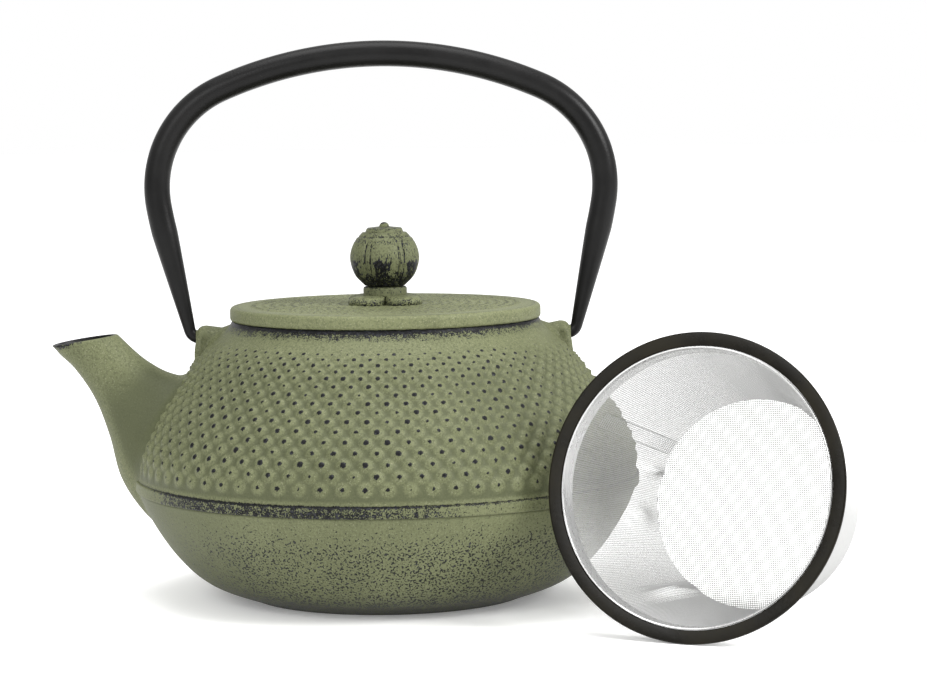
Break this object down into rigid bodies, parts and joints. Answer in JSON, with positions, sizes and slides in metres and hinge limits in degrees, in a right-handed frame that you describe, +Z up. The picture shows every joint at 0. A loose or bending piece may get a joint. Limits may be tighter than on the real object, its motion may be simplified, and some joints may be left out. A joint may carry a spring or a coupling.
{
  "type": "cast iron teapot",
  "caption": "Squat cast iron teapot with a hobnailed shoulder, side spout, flat knobbed lid and swinging bail handle, with a wire mesh tea infuser lying beside it.",
  "frame": {"origin": "on the table, on the pot's own axis, at the middle of its foot", "axes": "+Z up, the spout points to -X, the bail handle's two lugs stand at -X and +X, the infuser lies on the -Y side"},
  "size_m": [0.2591, 0.2015, 0.1826],
  "materials": {
    "green_iron": "sage green paint, satin, rubbed back to dark iron on raised edges",
    "black_steel": "satin black",
    "bare_steel": "plain",
    "black_rim": "gloss black",
    "bright_steel": "bright",
    "steel_mesh": "fine woven wire"
  },
  "bodies": {
    "pot": {"pot_casting": "green_iron"},
    "lid": {"lid_casting": "green_iron", "knob_plinth": "green_iron", "knob_neck": "green_iron", "knob_ball": "green_iron", "knob_cap": "green_iron", "knob_rivet": "green_iron", "rivet_washer": "bare_steel"},
    "handle": {"handle_bail": "black_steel"},
    "infuser": {"infuser_rim": "black_rim", "infuser_collar": "bright_steel", "infuser_wall": "steel_mesh", "infuser_floor": "steel_mesh", "infuser_seam": "bright_steel"}
  },
  "joints": [
    {"name": "lid_lift", "type": "slide", "parent": "pot", "child": "lid", "axis": [0, 0, 1], "range_m": [0, 0.045]},
    {"name": "handle_swing", "type": "hinge", "parent": "pot", "child": "handle", "pos_m": [-0.0007, 0, 0.0856], "axis": [1, 0, 0], "range_deg": [-108, 90]},
    {"name": "infuser_tip", "type": "hinge", "parent": "pot", "child": "infuser", "pos_m": [0.1149, -0.0475, 0], "axis": [-0.9063, 0.4226, 0], "range_deg": [0, 77.5]}
  ]
}
